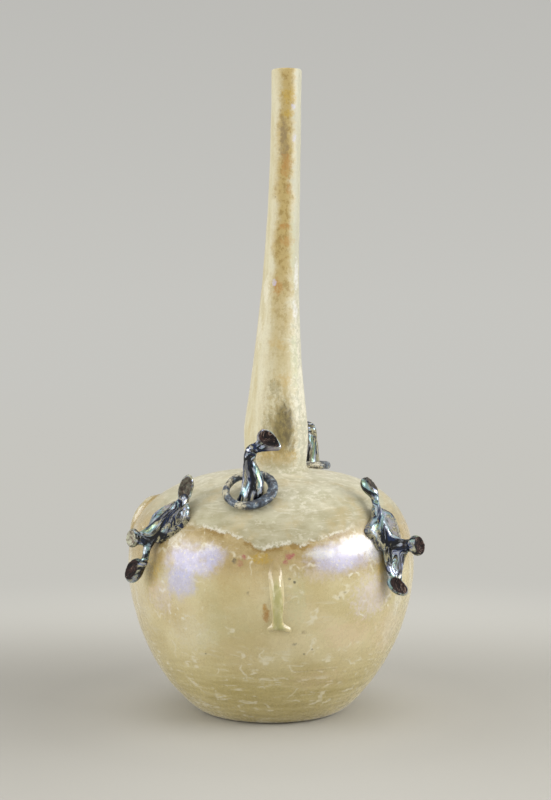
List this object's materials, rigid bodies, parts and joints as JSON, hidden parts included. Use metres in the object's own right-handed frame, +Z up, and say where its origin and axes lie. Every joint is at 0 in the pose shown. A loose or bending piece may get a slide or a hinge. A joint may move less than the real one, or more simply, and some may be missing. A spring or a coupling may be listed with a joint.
{
  "type": "flask",
  "caption": "Squat blown glass flask with a long thin leaning neck, blue glass handles that carry loose rings, and tooled blue figures on its shoulder.",
  "frame": {"origin": "middle of the foot, on the ground it stands on", "axes": "+Z up the vessel, front handle and front rib towards -Y, neck leaning towards +X"},
  "size_m": [0.1005, 0.1008, 0.22],
  "materials": {
    "body_glass": "weathered pale yellow glass, matte crust on the shoulder, iridescent below",
    "clear_glass": "pinched pale yellow glass, glossy",
    "blue_glass": "dark cobalt glass, glossy with iridescent bloom",
    "worn_blue_glass": "dark blue glass, dulled and pitted with cream weathering"
  },
  "bodies": {
    "vessel": {"vessel_wall": "body_glass", "front_handle": "blue_glass", "back_handle": "blue_glass", "right_figure": "blue_glass", "left_figure": "blue_glass", "front_rib": "clear_glass", "left_rib": "clear_glass"},
    "loose_front_ring": {"front_ring": "worn_blue_glass"},
    "loose_back_ring": {"back_ring": "worn_blue_glass"}
  },
  "joints": [
    {"name": "front_ring_lift", "type": "hinge", "parent": "vessel", "child": "loose_front_ring", "pos_m": [-0.00517, -0.02758, 0.08432], "axis": [-0.9767, 0.2147, 0], "range_deg": [0, 75]},
    {"name": "back_ring_lift", "type": "hinge", "parent": "vessel", "child": "loose_back_ring", "pos_m": [0.00914, 0.02596, 0.08197], "axis": [0.9239, -0.3827, 0], "range_deg": [0, 42]}
  ]
}
